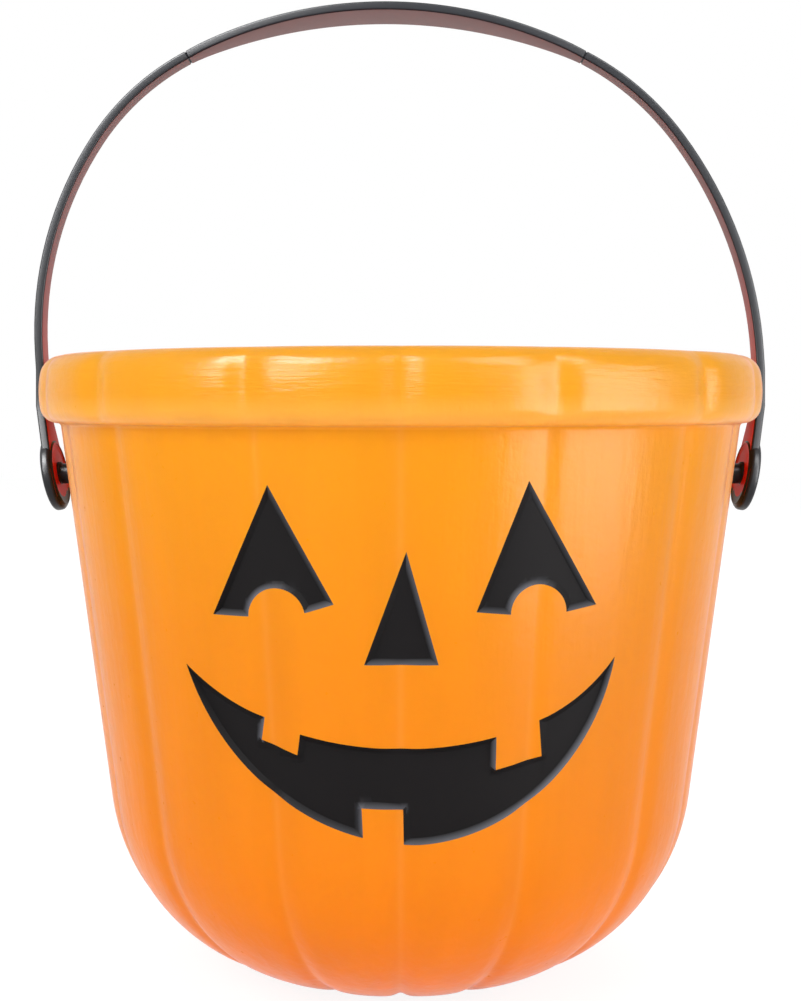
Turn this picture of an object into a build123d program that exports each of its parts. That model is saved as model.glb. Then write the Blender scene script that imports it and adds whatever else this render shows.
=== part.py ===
"""Pumpkin candy pail: a lobed blow-moulded shell with a hollow collar, a sunk face and a swing handle.

Sizes are in millimetres and angles in degrees. +Z is up, the face looks along -Y, and the origin is the
centre of the flat base. Azimuths are counted from the front, towards +X.
"""

import os
from math import atan2, cos, radians, sin, tan

from build123d import *

# Pail shell, measured over its lobes: the foot radius is where the wall would meet the floor
pail_height = 175.5
wall = 2.4
foot_radius = 77.6
corner_round = 57.5
corner_band_count = 5
shoulder_radius = 98.9

# Collar round the mouth
rim_overhang = 6.1
rim_height = 19.0
rim_lower_round = 5.0
rim_top_round = 6.0
rim_band_count = 2
lip_width = 7.0

# Grooves between the lobes: azimuths in one quarter of the plan, which the other quarters mirror
quarter_grooves = (0, 21, 48.3, 69.2)
groove_depth = 1.1
groove_round = 40.0

# Handle pegs and the round ends that carry them
pivot_drop = 15.3
peg_radius = 3.0
peg_clearance = 0.08
peg_standoff = 5.8
peg_play = 0.9
head_radius = 4.2
head_tip_radius = 2.2
head_length = 6.0
slot_width = 1.4
disc_radius = 10.75
disc_thickness = 3.1
disc_edge_chamfer = 0.7

# Handle strap and grip
strap_thickness = 2.5
strap_width = 7.6
strap_clearance = 0.4
strap_straight = 15.6
leg_foot_width = 18.0
grip_width = 18.0
grip_half_length = 77.0
arch_top_share = 1.333
arch_shoulder_share = 0.7524
arch_top_turn = 22
arch_shoulder_turn = 55

# Face: black inlays set below the skin in shallow pockets
# They are placed by shares of the wall's half width and height
pocket_depth = 1.4
inlay_thickness = 0.6
glue_line = 0.05
inlay_clearance = 0.1
eye_width_share = 0.3033
eye_height_share = 0.2064
left_eye_corner_share = (-0.4641, 0.7048)
right_eye_corner_share = (0.1830, 0.7112)
left_eye_shares = ((0, 0), (0.30, 0), (0.535, 0.225), (0.764, 0.046), (1, 0.118), (0.471, 1))
right_eye_shares = ((0, 0.028), (0.28, 0), (0.505, 0.218), (0.743, 0), (1, 0.04), (0.417, 1))
nose_width_share = 0.18
nose_height_share = 0.1751
nose_corner_share = (-0.0880, 0.6358)
nose_apex_share = 0.567
mouth_half_width_share = 0.5410
mouth_height_share = 0.2812
mouth_bottom_share = 0.3502
smile_left_shares = ((-1, 0.96), (-0.80, 0.79), (-0.62, 0.695))
left_tooth_shares = ((-0.635, 0.565), (-0.468, 0.495), (-0.455, 0.615))
smile_middle_share = (0.025, 0.548)
right_tooth_shares = ((0.434, 0.602), (0.432, 0.414), (0.647, 0.470), (0.634, 0.677))
smile_right_shares = ((0.82, 0.795), (1, 1))
chin_right_shares = ((0.832, 0.509), (0.015, 0))
lower_tooth_shares = ((0.012, 0.2), (-0.176, 0.21), (-0.170, 0.041))
chin_left_share = (-0.738, 0.434)

overrun = 3.0
quarter_turn = 90

# Worked out from the sizes above
rim_radius = shoulder_radius + rim_overhang
mouth_radius = rim_radius - lip_width
rim_bottom = pail_height - rim_height
pivot_height = rim_bottom - pivot_drop
wall_tilt = atan2(shoulder_radius - foot_radius, rim_bottom)
base_radius = foot_radius - corner_round * tan((radians(quarter_turn) - wall_tilt) / 2)
back_grooves = [2 * quarter_turn - turn for turn in reversed(quarter_grooves)]
half_grooves = (*quarter_grooves, quarter_turn, *back_grooves)
all_grooves = (*half_grooves, *(4 * quarter_turn - turn for turn in reversed(half_grooves[1:-1])))
arch_top_radius = rim_radius * arch_top_share
arch_shoulder_radius = rim_radius * arch_shoulder_share
rim_dimple_reach = rim_radius + groove_round - groove_depth
outside = rim_radius + shoulder_radius


def round_points(centre, radius, first_turn, last_turn, bands):
    """Points along an arc of the half section, so that it turns in short cones."""
    turns = [first_turn + (last_turn - first_turn) * band / bands for band in range(bands + 1)]
    return [(centre[0] + radius * cos(turn), centre[1] + radius * sin(turn)) for turn in turns]


# Half section of the skin: base corner and wall, then the collar
corner_centre = (base_radius, corner_round)
corner_start = radians(-quarter_turn)
corner_points = round_points(corner_centre, corner_round, corner_start, -wall_tilt, corner_band_count)
side_points = [*corner_points, (shoulder_radius, rim_bottom)]
rim_lower_centre = (rim_radius - rim_lower_round, rim_bottom + rim_lower_round)
rim_top_centre = (rim_radius - rim_top_round, pail_height - rim_top_round)
rim_points = [
    *round_points(rim_lower_centre, rim_lower_round, radians(-quarter_turn), 0, rim_band_count),
    *round_points(rim_top_centre, rim_top_round, 0, radians(quarter_turn), rim_band_count),
    (mouth_radius, pail_height),
]


def pail_form(inset):
    """The solid pail below its collar, set in from the skin by this much."""
    with BuildPart() as form:
        with BuildSketch(Plane.XZ):
            with BuildLine():
                Polyline((-overrun, 0), *side_points, (-overrun, rim_bottom), close=True)
            make_face()
            offset(amount=-inset, kind=Kind.INTERSECTION)
            Rectangle(outside, rim_bottom, align=(Align.MIN, Align.MIN), mode=Mode.INTERSECT)
        revolve(axis=Axis.Z)
    return form.part


def placed(shares, corner_share, width_share, height_share):
    """Outline points in the front view from their shares of a shape's width and height."""
    return [
        (
            (corner_share[0] + across * width_share) * shoulder_radius,
            (corner_share[1] + up * height_share) * rim_bottom,
        )
        for across, up in shares
    ]


def eye_outline(shares, corner_share):
    """A tall triangle with a round bite out of its lower edge."""
    corners = placed(shares, corner_share, eye_width_share, eye_height_share)
    left, bite_left, bite_top, bite_right, right, apex = corners
    with BuildSketch() as outline:
        with BuildLine():
            Line(left, bite_left)
            ThreePointArc(bite_left, bite_top, bite_right)
            Polyline(bite_right, right, apex, left)
        make_face()
    return outline.sketch


def nose_outline():
    """A narrow triangle."""
    shares = ((0, 0), (1, 0), (nose_apex_share, 1))
    corners = placed(shares, nose_corner_share, nose_width_share, nose_height_share)
    with BuildSketch() as outline:
        with BuildLine():
            Polyline(*corners, close=True)
        make_face()
    return outline.sketch


def mouth_points(*shares):
    """Mouth outline points from their shares of its half width and height."""
    return placed(shares, (0, mouth_bottom_share), mouth_half_width_share, mouth_height_share)


def mouth_outline():
    """A wide grin with two upper teeth and one lower tooth."""
    left_tip, left_bow, left_gum = mouth_points(*smile_left_shares)
    left_tooth = mouth_points(*left_tooth_shares)
    right_tooth = mouth_points(*right_tooth_shares)
    right_bow, right_tip = mouth_points(*smile_right_shares)
    chin_right, chin = mouth_points(*chin_right_shares)
    lower_tooth = mouth_points(*lower_tooth_shares)
    with BuildSketch() as outline:
        with BuildLine():
            ThreePointArc(left_tip, left_bow, left_gum)
            Polyline(left_gum, *left_tooth)
            ThreePointArc(left_tooth[-1], *mouth_points(smile_middle_share), right_tooth[0])
            Polyline(*right_tooth)
            ThreePointArc(right_tooth[-1], right_bow, right_tip)
            ThreePointArc(right_tip, chin_right, chin)
            Polyline(chin, *lower_tooth)
            ThreePointArc(lower_tooth[-1], *mouth_points(chin_left_share), left_tip)
        make_face()
    return outline.sketch


face_plane = Plane(origin=(0, 0, 0), x_dir=(1, 0, 0), z_dir=(0, -1, 0))
face_outlines = {
    "left_eye": eye_outline(left_eye_shares, left_eye_corner_share),
    "right_eye": eye_outline(right_eye_shares, right_eye_corner_share),
    "nose": nose_outline(),
    "mouth": mouth_outline(),
}
inlay_back_inset = pocket_depth - glue_line
pocket_floor = pail_form(pocket_depth)
inlay_back = pail_form(inlay_back_inset)
inlay_front = pail_form(inlay_back_inset - inlay_thickness)

# Groove cutter for the side of the pail at +X, running down the wall and round under the corner
groove_points = [Vector(radius, 0, height) for radius, height in reversed(side_points[1:])]
groove_run = groove_points[1] - groove_points[0]
groove_start = Plane(origin=groove_points[0], x_dir=(cos(wall_tilt), 0, -sin(wall_tilt)), z_dir=groove_run)
with BuildPart() as groove:
    with BuildLine():
        Polyline(*groove_points)
    with BuildSketch(groove_start):
        with Locations((groove_round - groove_depth, 0)):
            Circle(groove_round)
        Rectangle(2 * overrun, 2 * groove_round, mode=Mode.INTERSECT)
    sweep(transition=Transition.RIGHT)

# Pockets: the face pressed into the skin down to the pocket floor
with BuildPart() as pockets:
    for outline in face_outlines.values():
        with BuildSketch(face_plane):
            add(outline)
    extrude(amount=outside)
    add(pocket_floor, mode=Mode.SUBTRACT)

# Pail: one moulding of even wall with a hollow collar, grooved outside, with a peg hole in each side
with BuildPart() as pail:
    with BuildSketch(Plane.XZ):
        with BuildLine():
            Polyline((0, 0), *side_points, *rim_points)
            offset(amount=wall, side=Side.LEFT, kind=Kind.INTERSECTION)
        make_face()
    revolve(axis=Axis.Z)
    for azimuth in all_grooves:
        add(groove.part, rotation=(0, 0, azimuth - quarter_turn), mode=Mode.SUBTRACT)
    with BuildSketch(Plane.XY.offset(rim_bottom)):
        for azimuth in all_grooves:
            with PolarLocations(rim_dimple_reach, 1, start_angle=azimuth - quarter_turn):
                Circle(groove_round)
    extrude(amount=rim_height, mode=Mode.SUBTRACT)
    with BuildSketch(Plane.YZ.offset(-outside)):
        with Locations((0, pivot_height)):
            Circle(peg_radius + peg_clearance)
    extrude(amount=2 * outside, mode=Mode.SUBTRACT)
    add(pockets.part, mode=Mode.SUBTRACT)
pail.part.label = "pail"

# Face inlays: thin plates that follow the wall, lying on their pocket floors
inlays = []
for name, outline in face_outlines.items():
    with BuildPart() as inlay:
        with BuildSketch(face_plane):
            add(outline)
            offset(amount=-inlay_clearance)
        extrude(amount=outside)
        add(inlay_front, mode=Mode.INTERSECT)
        add(inlay_back, mode=Mode.SUBTRACT)
    inlay.part.label = name
    inlays.append(inlay.part)

# Handle: places of its faces, outwards along X from the pail's axis
groove_wall = shoulder_radius - pivot_drop * tan(wall_tilt) - groove_depth
disc_inner = groove_wall + peg_standoff
strap_inner = rim_radius + strap_clearance
strap_outer = strap_inner + strap_thickness
bend_height = rim_bottom + rim_lower_round
leg_tilt = atan2(strap_inner - disc_inner, bend_height - pivot_height)
leg_length = (bend_height - pivot_height) / cos(leg_tilt)
leg_outward = (cos(leg_tilt), 0, -sin(leg_tilt))
leg_plane = Plane(origin=(disc_inner, 0, pivot_height), x_dir=(0, 1, 0), z_dir=leg_outward)
head_seat = groove_wall - wall - peg_play

# Handle arch: the side arcs take up what the top and shoulder arcs leave of the half width
top_reach = arch_top_radius * sin(radians(arch_top_turn))
shoulder_reach = arch_shoulder_radius * (sin(radians(arch_shoulder_turn)) - sin(radians(arch_top_turn)))
arch_side_radius = (strap_outer - top_reach - shoulder_reach) / (1 - sin(radians(arch_shoulder_turn)))

# Band: front view of the strap, an arch of even thickness on legs that lean in to the pegs
with BuildSketch(Plane.XZ) as band:
    with BuildLine():
        ends = []
        for inset, foot in ((strap_thickness, disc_inner), (0, disc_inner + strap_thickness)):
            leg = Polyline(
                (foot, pivot_height),
                (strap_outer - inset, bend_height),
                (strap_outer - inset, bend_height + strap_straight),
            )
            side = JernArc(leg @ 1, leg % 1, arch_side_radius - inset, quarter_turn - arch_shoulder_turn)
            shoulder_turn = arch_shoulder_turn - arch_top_turn
            shoulder = JernArc(side @ 1, side % 1, arch_shoulder_radius - inset, shoulder_turn)
            top = JernArc(shoulder @ 1, shoulder % 1, arch_top_radius - inset, arch_top_turn)
            ends.append((leg @ 0, top @ 1))
        Line(ends[0][0], ends[1][0])
        Line(ends[0][1], ends[1][1])
    make_face()
    mirror(about=Plane.YZ)

# Grip: the wider middle of the band, a long leaf in plan whose points end inside the strap
with BuildPart() as grip:
    with BuildSketch(Plane.XZ):
        add(band.sketch_local)
    extrude(amount=grip_width / 2, both=True)
    with BuildSketch(Plane.XY.offset(pail_height)):
        with BuildLine():
            for bow in (grip_width / 2, -grip_width / 2):
                ThreePointArc((-grip_half_length, 0), (0, bow), (grip_half_length, 0))
        make_face()
    extrude(amount=arch_top_radius, mode=Mode.INTERSECT)

# Peg end: a round boss under the flared leg, with a split snap peg that turns in the wall
with BuildPart() as peg_end:
    with BuildSketch(leg_plane):
        Circle(disc_radius)
    extrude(amount=disc_thickness)
    chamfer(peg_end.edges().filter_by(GeomType.CIRCLE).sort_by(Axis.X)[-1], disc_edge_chamfer)
    with BuildSketch(leg_plane):
        with BuildLine():
            Polyline(
                (-leg_foot_width / 2, 0),
                (leg_foot_width / 2, 0),
                (strap_width / 2, leg_length),
                (-strap_width / 2, leg_length),
                close=True,
            )
        make_face()
    extrude(amount=strap_thickness * cos(leg_tilt))
    with BuildSketch(Plane.XZ):
        with BuildLine():
            Polyline(
                (disc_inner + disc_thickness / 2, pivot_height),
                (disc_inner + disc_thickness / 2, pivot_height + peg_radius),
                (head_seat, pivot_height + peg_radius),
                (head_seat, pivot_height + head_radius),
                (head_seat - head_length, pivot_height + head_tip_radius),
                (head_seat - head_length, pivot_height),
                close=True,
            )
        make_face()
    revolve(axis=Axis((0, 0, pivot_height), (1, 0, 0)))
    with BuildSketch(Plane.YZ.offset(groove_wall)):
        with Locations((0, pivot_height)):
            Rectangle(slot_width, 2 * head_radius)
    extrude(amount=head_seat - head_length - groove_wall, mode=Mode.SUBTRACT)

# Handle: one moulding of strap, grip and both peg ends
with BuildPart() as handle:
    with BuildSketch(Plane.XZ):
        add(band.sketch_local)
    extrude(amount=strap_width / 2, both=True)
    add(grip.part)
    add(peg_end.part)
    mirror(peg_end.part, about=Plane.YZ)
handle.part.label = "handle"

os.makedirs("parts", exist_ok=True)
for piece in (pail.part, handle.part, *inlays):
    export_step(piece, f"parts/{piece.label}.step")
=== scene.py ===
"""Looks of the pumpkin candy pail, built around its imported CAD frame.

Sizes in the classes are millimetres and degrees, as on a drawing. Meshes are made in metres.
"""

import logging
import math
from dataclasses import dataclass, field
from enum import Enum
from typing import Callable, Dict, List, Mapping, Optional, Sequence, Tuple, Union

import bmesh
import bpy
from mathutils import Matrix, Vector


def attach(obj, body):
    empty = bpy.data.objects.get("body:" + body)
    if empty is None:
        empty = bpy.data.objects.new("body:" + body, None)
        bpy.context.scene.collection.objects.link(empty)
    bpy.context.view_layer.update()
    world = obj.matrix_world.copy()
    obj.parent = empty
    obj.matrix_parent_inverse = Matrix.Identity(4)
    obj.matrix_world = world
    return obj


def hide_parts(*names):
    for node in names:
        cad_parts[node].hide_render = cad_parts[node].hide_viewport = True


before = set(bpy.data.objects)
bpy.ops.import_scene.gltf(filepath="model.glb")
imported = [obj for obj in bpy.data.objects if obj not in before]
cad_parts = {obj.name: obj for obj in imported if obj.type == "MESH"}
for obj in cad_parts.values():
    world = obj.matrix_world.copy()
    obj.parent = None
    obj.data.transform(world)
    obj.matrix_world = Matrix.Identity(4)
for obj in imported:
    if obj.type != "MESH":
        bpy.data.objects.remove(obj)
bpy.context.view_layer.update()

LOG = logging.getLogger("pumpkin_pail")
MM = 0.001
WELD = 1e-7
TOUCHING = 1e-6
PHOTO_WIDTH = 801

Point = Tuple[float, float]
Place = Tuple[float, float, float]
Colour = Tuple[float, float, float, float]
Mesh = Tuple[List[Sequence[float]], List[Sequence[int]]]
Socket = bpy.types.NodeSocket
Inputs = Mapping[Union[str, int], object]

WHITE: Colour = (1.0, 1.0, 1.0, 1.0)
NOISE_DETAIL = 3.0
RIPPLE_FADE = 3.0


class Body(Enum):
    """CAD bodies that the pieces ride on."""

    PAIL = "pail"
    HANDLE = "handle"


class Slot(Enum):
    """Material slots of the record."""

    ORANGE = "orange_plastic"
    HANDLE = "black_plastic"
    FACE = "face_black"


class SkinNoise(Enum):
    """Noises of a moulded skin: the factor on each coordinate, and the scale."""

    DRIFT = ((1.0, 1.0, 0.08), 60.0)
    WAVE = ((1.0, 1.0, 0.05), 220.0)
    RIPPLE = ((0.12, 0.12, 1.0), 850.0)


class LampUse(Enum):
    """What a lamp adds to the picture."""

    LIGHT = "light and gloss"
    SHADE = "light alone"
    CARD = "gloss alone"


# Plane geometry


def arc_points(centre: Point, radius: float, start: float, stop: float, steps: int) -> List[Point]:
    """Points along a circular arc between two angles in degrees, both ends included."""
    turns = [math.radians(start + (stop - start) * step / steps) for step in range(steps + 1)]
    return [(centre[0] + radius * math.cos(turn), centre[1] + radius * math.sin(turn)) for turn in turns]


def line_points(first: Point, last: Point, steps: int) -> List[Point]:
    """Evenly spaced points along a straight line, both ends included."""
    return [
        (first[0] + (last[0] - first[0]) * step / steps, first[1] + (last[1] - first[1]) * step / steps)
        for step in range(steps + 1)
    ]


def arc_through(first: Point, middle: Point, last: Point, spacing: float) -> List[Point]:
    """Points along the arc through three points.

    Args:
        first: Start of the arc.
        middle: A point that it passes.
        last: End of the arc.
        spacing: Largest distance between neighbouring points.

    Returns:
        The points, both ends included.
    """
    (ax, ay), (bx, by), (cx, cy) = first, middle, last
    twice = 2 * (ax * (by - cy) + bx * (cy - ay) + cx * (ay - by))
    a2, b2, c2 = ax * ax + ay * ay, bx * bx + by * by, cx * cx + cy * cy
    centre = (
        (a2 * (by - cy) + b2 * (cy - ay) + c2 * (ay - by)) / twice,
        (a2 * (cx - bx) + b2 * (ax - cx) + c2 * (bx - ax)) / twice,
    )
    radius = math.dist(centre, first)
    three = (first, middle, last)
    start, via, stop = (math.degrees(math.atan2(y - centre[1], x - centre[0])) for x, y in three)
    sweep = (stop - start) % 360
    if (via - start) % 360 > sweep:
        sweep -= 360
    steps = max(2, math.ceil(math.radians(abs(sweep)) * radius / spacing))
    return arc_points(centre, radius, start, start + sweep, steps)


def joined(runs: Sequence[Sequence[Point]]) -> List[Point]:
    """Runs of points put end to end, with each repeated point dropped.

    Args:
        runs: The runs, in order.

    Returns:
        The joined points.
    """
    points: List[Point] = []
    for run in runs:
        for point in run:
            if not points or math.dist(points[-1], point) > TOUCHING:
                points.append(point)
    return points


def unit(value: float) -> float:
    """A value held between 0 and 1."""
    return min(1.0, max(0.0, value))


def smooth_step(value: float) -> float:
    """A soft step from 0 to 1 over the unit range."""
    share = unit(value)
    return share * share * (3 - 2 * share)


def between(first: float, last: float, share: float) -> float:
    """The value a share of the way from the first to the last."""
    return first + (last - first) * share


# Meshes


def mesh_object(
    name: str, vertices: Sequence[Sequence[float]], faces: Sequence[Sequence[int]]
) -> bpy.types.Object:
    """A new mesh object in the scene, with its faces turned outwards.

    Args:
        name: Name of the object.
        vertices: Points in millimetres.
        faces: Vertex numbers of each face.

    Returns:
        The linked object.
    """
    mesh = bpy.data.meshes.new(name)
    mesh.from_pydata([Vector(vertex) * MM for vertex in vertices], [], faces)
    build = bmesh.new()
    build.from_mesh(mesh)
    bmesh.ops.remove_doubles(build, verts=build.verts, dist=WELD)
    bmesh.ops.recalc_face_normals(build, faces=build.faces)
    build.to_mesh(mesh)
    build.free()
    thing = bpy.data.objects.new(name, mesh)
    bpy.context.scene.collection.objects.link(thing)
    return thing


def smooth_shaded(thing: bpy.types.Object, crease: float) -> None:
    """Shades an object smoothly, but keeps edges sharper than the crease angle.

    Args:
        thing: Object to shade.
        crease: Angle between faces, in degrees, from which an edge stays sharp.
    """
    build = bmesh.new()
    build.from_mesh(thing.data)
    for face in build.faces:
        face.smooth = True
    for edge in build.edges:
        edge.smooth = len(edge.link_faces) == 2 and edge.calc_face_angle(0) < math.radians(crease)
    build.to_mesh(thing.data)
    build.free()


def band_faces(rows: int, columns: int) -> List[Sequence[int]]:
    """Faces between neighbouring rings of points.

    Args:
        rows: Number of rings, one after another.
        columns: Number of points in each closed ring.

    Returns:
        Vertex numbers of each face.
    """
    faces: List[Sequence[int]] = []
    for low in range(0, (rows - 1) * columns, columns):
        high = low + columns
        for spot in range(columns):
            beside = (spot + 1) % columns
            faces.append((low + spot, low + beside, high + beside, high + spot))
    return faces


def turned(section: Sequence[Point], azimuths: Sequence[float], place: Callable[..., Vector]) -> Mesh:
    """A section of radii and heights turned through azimuths, with a function that places each point."""
    vertices = [place(radius, height, azimuth) for radius, height in section for azimuth in azimuths]
    return vertices, band_faces(len(section), len(azimuths))


def mark_points(thing: bpy.types.Object, name: str, value: Callable[[Vector], float]) -> None:
    """Stores a named value at every point of a mesh, worked out from the point in millimetres."""
    layer = thing.data.attributes.new(name, "FLOAT", "POINT")
    layer.data.foreach_set("value", [value(vertex.co / MM) for vertex in thing.data.vertices])


def cut_by(thing: bpy.types.Object, cutter: bpy.types.Object) -> None:
    """Cuts one closed mesh out of another and removes the cutter.

    Args:
        thing: Object that is cut.
        cutter: Closed mesh whose space is taken out.
    """
    modifier = thing.modifiers.new("cut", "BOOLEAN")
    modifier.operation = "DIFFERENCE"
    modifier.solver = "EXACT"
    modifier.object = cutter
    evaluated = thing.evaluated_get(bpy.context.evaluated_depsgraph_get())
    mesh = bpy.data.meshes.new_from_object(evaluated)
    thing.modifiers.remove(modifier)
    thing.data = mesh
    bpy.data.objects.remove(cutter)


# Shader node groups and finishes


def linear(red: float, green: float, blue: float) -> Colour:
    """A screen colour as the linear colour that shaders take.

    Args:
        red: Red level, from 0 to 255.
        green: Green level, from 0 to 255.
        blue: Blue level, from 0 to 255.

    Returns:
        The linear colour, fully opaque.
    """
    def level(value: float) -> float:
        """One level made linear."""
        share = value / 255
        return share / 12.92 if share <= 0.04045 else ((share + 0.055) / 1.055) ** 2.4

    return (level(red), level(green), level(blue), 1.0)


@dataclass
class NodeTree:
    """A node tree that is being built."""

    tree: bpy.types.NodeTree

    def node(self, kind: str, inputs: Optional[Inputs] = None, **settings: object) -> bpy.types.Node:
        """Adds a node, sets its properties and fills its inputs.

        Args:
            kind: Node type name.
            inputs: Value or linked output of each input, by the input's name or number.
            **settings: Properties of the node.

        Returns:
            The new node.
        """
        made = self.tree.nodes.new(kind)
        for name, value in settings.items():
            setattr(made, name, value)
        self.fill(made, inputs or {})
        return made

    def fill(self, node: bpy.types.Node, inputs: Inputs) -> None:
        """Links outputs to a node's inputs, or sets the inputs' own values.

        Args:
            node: Node whose inputs are filled.
            inputs: Value or linked output of each input, by the input's name or number.
        """
        for name, value in inputs.items():
            if isinstance(value, Socket):
                self.tree.links.new(value, node.inputs[name])
            else:
                node.inputs[name].default_value = value

    def height(self) -> Socket:
        """Height of a point in its object's own space, in metres."""
        place = self.node("ShaderNodeTexCoord")
        return self.node("ShaderNodeSeparateXYZ", {"Vector": place.outputs["Object"]}).outputs["Z"]

    def calculated(self, operation: str, first: object, second: object, clamp: bool = False) -> Socket:
        """Works on two values or outputs, and holds the result between 0 and 1 if asked."""
        made = self.node("ShaderNodeMath", {0: first, 1: second}, operation=operation, use_clamp=clamp)
        return made.outputs["Value"]

    def ranged(self, source: Socket, low: float, high: float) -> Socket:
        """Maps a value from 0 to 1 onto a range."""
        inputs = {"Value": source, "To Min": low, "To Max": high}
        return self.node("ShaderNodeMapRange", inputs).outputs["Result"]

    def blend(self, share: object, first: object, second: object, **settings: object) -> Socket:
        """Mixes two values or colours, all of the second at a share of 1."""
        inputs = {"Factor": share, "A": first, "B": second}
        return self.node("ShaderNodeMix", inputs, **settings).outputs["Result"]

    def ramp(self, source: Socket, stops: Sequence[Tuple[float, Colour]]) -> Socket:
        """Colours a value by a ramp.

        Args:
            source: Value from 0 to 1.
            stops: Position and colour of each stop, in order.

        Returns:
            The ramp's colour output.
        """
        made = self.node("ShaderNodeValToRGB", {"Fac": source})
        elements = made.color_ramp.elements
        while len(elements) < len(stops):
            elements.new(0.5)
        for element, (position, colour) in zip(elements, stops):
            element.position = position
            element.color = colour
        return made.outputs["Color"]

    def noise(self, stretch: Place, scale: object) -> Socket:
        """Adds a noise in object space.

        Args:
            stretch: Factor on each coordinate, small where the noise is drawn out.
            scale: Scale of the noise, as a value or an output.

        Returns:
            The noise's value output.
        """
        place = self.node("ShaderNodeTexCoord").outputs["Object"]
        drawn = self.node("ShaderNodeVectorMath", {0: place, 1: stretch}, operation="MULTIPLY")
        inputs = {"Vector": drawn.outputs["Vector"], "Scale": scale, "Detail": NOISE_DETAIL}
        return self.node("ShaderNodeTexNoise", inputs, noise_dimensions="3D").outputs["Fac"]


def moulded_surface_group() -> bpy.types.NodeTree:
    """Makes the node group of a moulded skin.

    Returns:
        The group, which gives a drift of tone, a grain, and a height with upright waves and a rippled top.
    """
    group = bpy.data.node_groups.new("Moulded surface", "ShaderNodeTree")
    for side, names in (
        ("INPUT", ("Grain size", "Grain share", "Wave share", "Ripple start")),
        ("OUTPUT", ("Drift", "Grain", "Height")),
    ):
        for name in names:
            group.interface.new_socket(name, in_out=side, socket_type="NodeSocketFloat")
    build = NodeTree(group)
    given = build.node("NodeGroupInput").outputs
    drift, wave, ripple = (build.noise(*noise.value) for noise in SkinNoise)
    grain = build.noise((1.0, 1.0, 1.0), given["Grain size"])
    past_start = build.calculated("SUBTRACT", build.height(), given["Ripple start"])
    rippled = build.node("ShaderNodeMapRange", {"Value": past_start, "From Max": RIPPLE_FADE * MM})
    skin = build.blend(given["Grain share"], drift, grain, data_type="FLOAT")
    waves = build.blend(rippled.outputs["Result"], wave, ripple, data_type="FLOAT")
    height = build.blend(given["Wave share"], skin, waves, data_type="FLOAT")
    build.node("NodeGroupOutput", {"Drift": drift, "Grain": grain, "Height": height})
    return group


@dataclass(frozen=True)
class MouldedFinish:
    """A moulded plastic finish, with its colour graded from the foot of the object to its top, and painted
    light where a point attribute marks it.
    """

    name: str
    stops: Tuple[Tuple[float, Colour], ...]
    top_height: float
    roughness: Point
    grain_size: float
    bump_distance: float
    bump_strength: float = 0.25
    grain_share: float = 0.3
    wave_share: float = 0.0
    ripple_start: float = 1000.0
    tone_swing: float = 0.06
    # Painted light: the point attribute that marks it, and its colour.
    painted_light_attribute: str = ""
    painted_light_colour: Colour = WHITE
    specular: float = 0.5
    sheen: float = 0.0
    sheen_tint: Colour = WHITE
    sheen_roughness: float = 0.4
    subsurface: float = 0.0
    subsurface_radius: Place = (1.0, 0.4, 0.15)
    subsurface_scale: float = 0.004

    def colour(self, build: NodeTree, drift: Socket) -> Socket:
        """The graded colour, with its drift of tone and the painted light that a point attribute marks.

        Args:
            build: Tree of the material.
            drift: Drift output of the moulded surface.

        Returns:
            The colour's output.
        """
        rise = build.calculated("DIVIDE", build.height(), self.top_height * MM, clamp=True)
        tone = build.ranged(drift, 1.0 - self.tone_swing, 1.0 + self.tone_swing)
        graded = build.ramp(rise, self.stops)
        colour = build.blend(1.0, graded, tone, data_type="RGBA", blend_type="MULTIPLY")
        if not self.painted_light_attribute:
            return colour
        # Painted light, blended in where the point attribute marks it.
        marked = build.node("ShaderNodeAttribute", attribute_name=self.painted_light_attribute)
        return build.blend(marked.outputs["Fac"], colour, self.painted_light_colour, data_type="RGBA")

    def material(self, group: bpy.types.NodeTree) -> bpy.types.Material:
        """Builds the material.

        Args:
            group: The moulded surface node group.

        Returns:
            The material.
        """
        made = bpy.data.materials.new(self.name)
        made.use_nodes = True
        build = NodeTree(made.node_tree)
        given = {
            "Grain size": self.grain_size,
            "Grain share": self.grain_share,
            "Wave share": self.wave_share,
            "Ripple start": self.ripple_start * MM,
        }
        surface = build.node("ShaderNodeGroup", given, node_tree=group).outputs
        relief = {
            "Strength": self.bump_strength,
            "Distance": self.bump_distance * MM,
            "Height": surface["Height"],
        }
        build.fill(
            made.node_tree.nodes["Principled BSDF"],
            {
                "Base Color": self.colour(build, surface["Drift"]),
                "Roughness": build.ranged(surface["Grain"], *self.roughness),
                "Normal": build.node("ShaderNodeBump", relief).outputs["Normal"],
                "Specular IOR Level": self.specular,
                "Sheen Weight": self.sheen,
                "Sheen Tint": self.sheen_tint,
                "Sheen Roughness": self.sheen_roughness,
                "Subsurface Weight": self.subsurface,
                "Subsurface Radius": self.subsurface_radius,
                "Subsurface Scale": self.subsurface_scale,
            },
        )
        return made


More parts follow.
